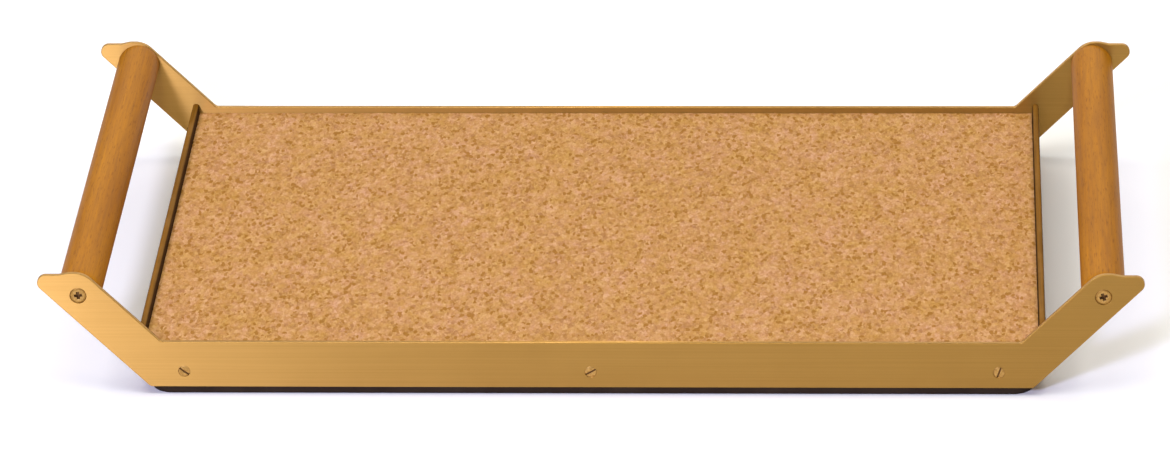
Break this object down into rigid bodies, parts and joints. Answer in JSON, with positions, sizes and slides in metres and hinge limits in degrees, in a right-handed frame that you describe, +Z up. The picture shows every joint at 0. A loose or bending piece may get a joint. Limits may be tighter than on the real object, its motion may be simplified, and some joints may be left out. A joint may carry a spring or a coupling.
{
  "type": "cork-faced carrying board",
  "caption": "Flat cork-faced board on a rubber mat, between upturned brass side rails that carry a round wooden handle at each end.",
  "frame": {"origin": "centre of the rubber mat's underside, the face the board rests on", "axes": "+X along the board towards the right-hand handle, +Y from the front rail to the rear rail, +Z up"},
  "size_m": [0.6236, 0.35, 0.0746],
  "materials": {
    "rail_brass": "brushed along the rail, satin",
    "screw_brass": "machined",
    "varnished_wood": "satin varnish, fine lengthwise grain",
    "dark_wood": "dark stained hardwood, oiled",
    "cork": "fine-grained pressed cork, matt",
    "plywood": "birch plywood, sanded",
    "black_rubber": "matt sheet rubber"
  },
  "bodies": {
    "root": {"rubber_mat": "black_rubber", "deck_board": "plywood", "cork_sheet": "cork", "front_rail": "rail_brass", "rear_rail": "rail_brass", "left_handle": "varnished_wood", "right_handle": "varnished_wood", "left_end_trim": "dark_wood", "right_end_trim": "dark_wood", "handle_screw_front_left": "screw_brass", "handle_screw_front_right": "screw_brass", "handle_screw_rear_left": "screw_brass", "handle_screw_rear_right": "screw_brass", "rail_screw_front_left": "screw_brass", "rail_screw_front_middle": "screw_brass", "rail_screw_front_right": "screw_brass", "rail_screw_rear_left": "screw_brass", "rail_screw_rear_middle": "screw_brass", "rail_screw_rear_right": "screw_brass"}
  },
  "joints": []
}
